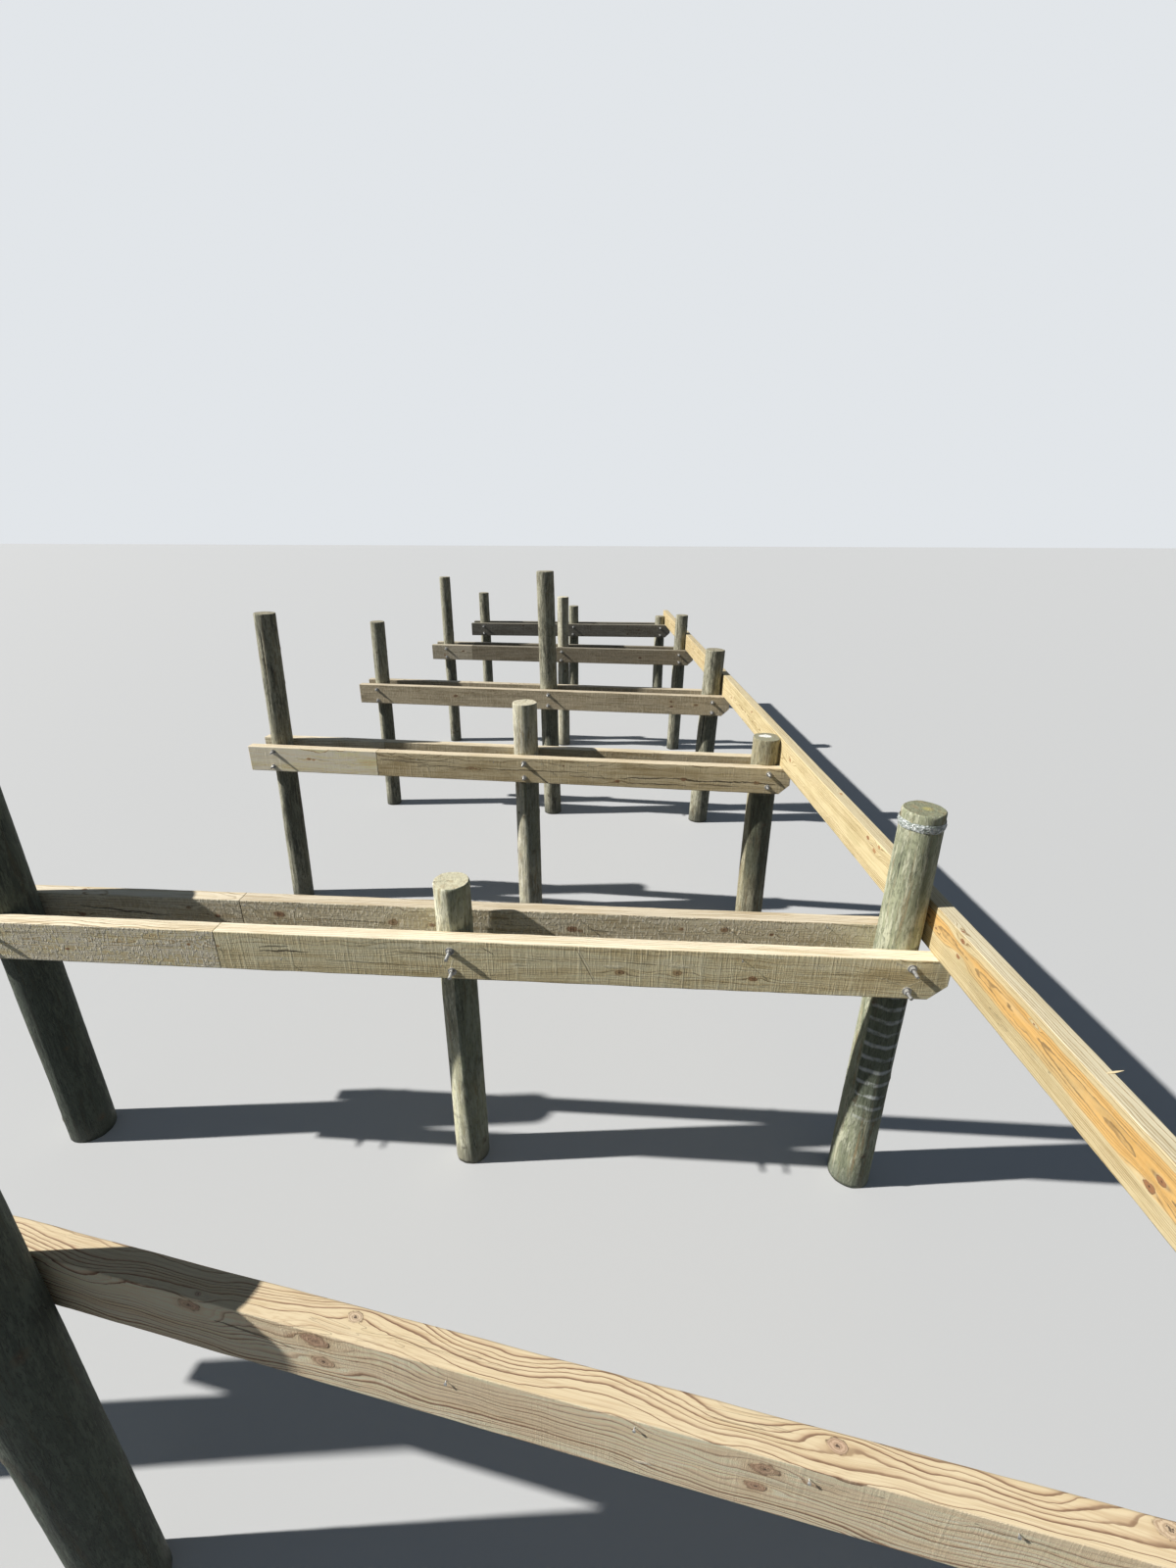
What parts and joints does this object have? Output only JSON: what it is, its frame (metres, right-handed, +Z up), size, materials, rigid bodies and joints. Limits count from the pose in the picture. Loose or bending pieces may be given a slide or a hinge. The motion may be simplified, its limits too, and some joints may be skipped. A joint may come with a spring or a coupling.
{
  "type": "timber jetty frame",
  "caption": "Open timber jetty frame: round piles in bents, each clasped by a pair of cross-beams, with a rim beam along the outboard ends of the beams.",
  "frame": {"origin": "middle of the plan at the level of the pile feet", "axes": "+X from the bank side to the outboard side, +Y along the rim beam from the first bent to the last, +Z up"},
  "size_m": [5.413, 13.6636, 3.0764],
  "materials": {
    "weathered_pile": "weathered round treated pile, dull",
    "sawn_beam": "sawn treated softwood, dull, going grey",
    "fresh_beam": "fresh sawn treated softwood, bold grain",
    "fresh_rim": "fresh planed yellow softwood"
  },
  "bodies": {
    "root": {"a_bank_pile": "weathered_pile", "a_middle_pile": "weathered_pile", "a_outer_pile": "weathered_pile", "b_bank_pile": "weathered_pile", "b_middle_pile": "weathered_pile", "b_outer_pile": "weathered_pile", "c_bank_pile": "weathered_pile", "c_middle_pile": "weathered_pile", "c_outer_pile": "weathered_pile", "d_bank_pile": "weathered_pile", "d_middle_pile": "weathered_pile", "d_outer_pile": "weathered_pile", "e_bank_pile": "weathered_pile", "e_middle_pile": "weathered_pile", "e_outer_pile": "weathered_pile", "f_bank_pile": "weathered_pile", "f_middle_pile": "weathered_pile", "f_outer_pile": "weathered_pile", "a_cross_beam": "fresh_beam", "b_near_beam": "sawn_beam", "b_near_bank_end": "sawn_beam", "b_far_beam": "sawn_beam", "b_far_bank_end": "sawn_beam", "c_near_beam": "sawn_beam", "c_near_bank_end": "sawn_beam", "c_far_beam": "sawn_beam", "c_far_bank_end": "sawn_beam", "d_near_beam": "sawn_beam", "d_far_beam": "sawn_beam", "e_near_beam": "sawn_beam", "e_near_bank_end": "sawn_beam", "e_far_beam": "sawn_beam", "e_far_bank_end": "sawn_beam", "f_near_beam": "sawn_beam", "f_far_beam": "sawn_beam", "rim_near_length": "fresh_rim", "rim_middle_length": "fresh_rim", "rim_far_length": "fresh_rim"}
  },
  "joints": []
}
